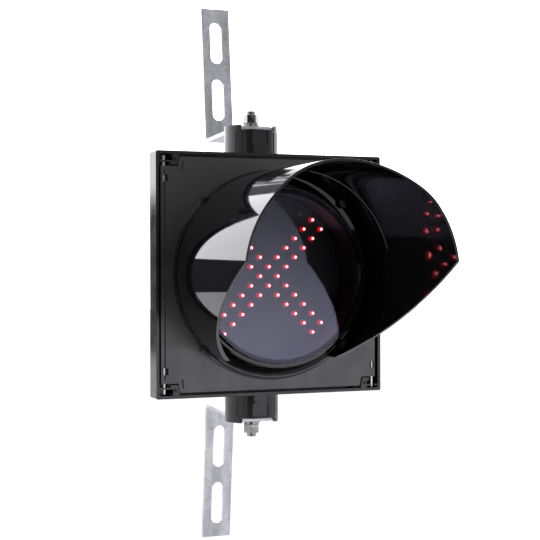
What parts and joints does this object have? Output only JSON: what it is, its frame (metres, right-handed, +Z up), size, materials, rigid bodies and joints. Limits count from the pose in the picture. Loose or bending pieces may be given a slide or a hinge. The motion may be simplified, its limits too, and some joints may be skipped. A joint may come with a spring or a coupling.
{
  "type": "traffic signal head",
  "caption": "Square lane-control signal head with a red LED cross behind a flat round lens under a cutaway visor, swivelling between two slotted strip brackets.",
  "frame": {"origin": "on the plane through the rear edges of the brackets' two tips, midway between the upper and the lower bracket", "axes": "+Z up along the swivel axis, -Y out of the front towards the viewer, +X to the viewer's right"},
  "size_m": [0.3, 0.458, 0.736],
  "materials": {
    "galvanised_strip": "hot-dip galvanised, mottled",
    "zinc_hardware": "zinc plated",
    "black_screw": "black zinc",
    "collar_plastic": "satin moulded dark grey",
    "housing_plastic": "satin moulded black",
    "door_plastic": "fine-grained satin black",
    "visor_plastic": "polished black",
    "bezel_plastic": "gloss black",
    "pan_plastic": "matt black",
    "rubber_seal": "matt",
    "stainless": "bright stainless",
    "terminal_plastic": "matt grey",
    "lens_clear": "clear, polished",
    "board_black": "black solder mask",
    "led_red": "lit red dome",
    "board_green": "green solder mask",
    "transformer_core": "varnished ferrite",
    "capacitor_sleeve": "shrink sleeve",
    "heatsink_metal": "extruded"
  },
  "bodies": {
    "mount": {"bracket_upper": "galvanised_strip", "bracket_lower": "galvanised_strip", "swivel_collar_upper": "collar_plastic", "swivel_collar_lower": "collar_plastic", "hub_bolts": "zinc_hardware", "flat_washers": "zinc_hardware", "spring_washers": "zinc_hardware", "hub_nuts": "zinc_hardware"},
    "housing": {"rear_housing": "housing_plastic", "friction_discs": "rubber_seal", "corner_keepers": "collar_plastic", "keeper_screws": "black_screw", "gland_body": "pan_plastic", "gland_cap": "pan_plastic", "gland_seal": "rubber_seal", "gland_locknut": "pan_plastic", "terminal_rail": "zinc_hardware", "rail_screws": "stainless", "terminal_block": "terminal_plastic", "terminal_screws": "zinc_hardware"},
    "door": {"door_panel": "door_plastic", "door_gasket": "rubber_seal", "visor": "visor_plastic", "visor_screws": "stainless", "lens": "lens_clear", "lens_gasket": "rubber_seal", "lens_bezel": "bezel_plastic", "module_pan": "pan_plastic", "module_clamps": "stainless", "clamp_screws": "stainless", "led_board": "board_black", "led_emitters": "led_red", "board_standoffs": "zinc_hardware", "board_screws": "stainless", "driver_board": "board_green", "driver_standoffs": "zinc_hardware", "driver_transformer": "transformer_core", "driver_capacitors": "capacitor_sleeve", "driver_heatsink": "heatsink_metal", "lead_grommet": "rubber_seal"},
    "hinge_pin_upper": {"hinge_pin_upper": "stainless"},
    "hinge_pin_lower": {"hinge_pin_lower": "stainless"},
    "latch_pin_upper": {"latch_pin_upper": "stainless"},
    "latch_pin_lower": {"latch_pin_lower": "stainless"}
  },
  "joints": [
    {"name": "head_swivel", "type": "hinge", "parent": "mount", "child": "housing", "pos_m": [0, -0.144, 0], "axis": [0, 0, 1], "range_deg": [-60, 60]},
    {"name": "door_hinge", "type": "hinge", "parent": "housing", "child": "door", "pos_m": [-0.1391, -0.212, 0], "axis": [0, 0, -1], "range_deg": [0, 105]},
    {"name": "hinge_pin_upper_slide", "type": "slide", "parent": "door", "child": "hinge_pin_upper", "axis": [0, 0, -1], "range_m": [0, 0.0094]},
    {"name": "hinge_pin_lower_slide", "type": "slide", "parent": "door", "child": "hinge_pin_lower", "axis": [0, 0, 1], "range_m": [0, 0.0094]},
    {"name": "latch_pin_upper_slide", "type": "slide", "parent": "door", "child": "latch_pin_upper", "axis": [0, 0, -1], "range_m": [0, 0.0094]},
    {"name": "latch_pin_lower_slide", "type": "slide", "parent": "door", "child": "latch_pin_lower", "axis": [0, 0, 1], "range_m": [0, 0.0094]}
  ]
}
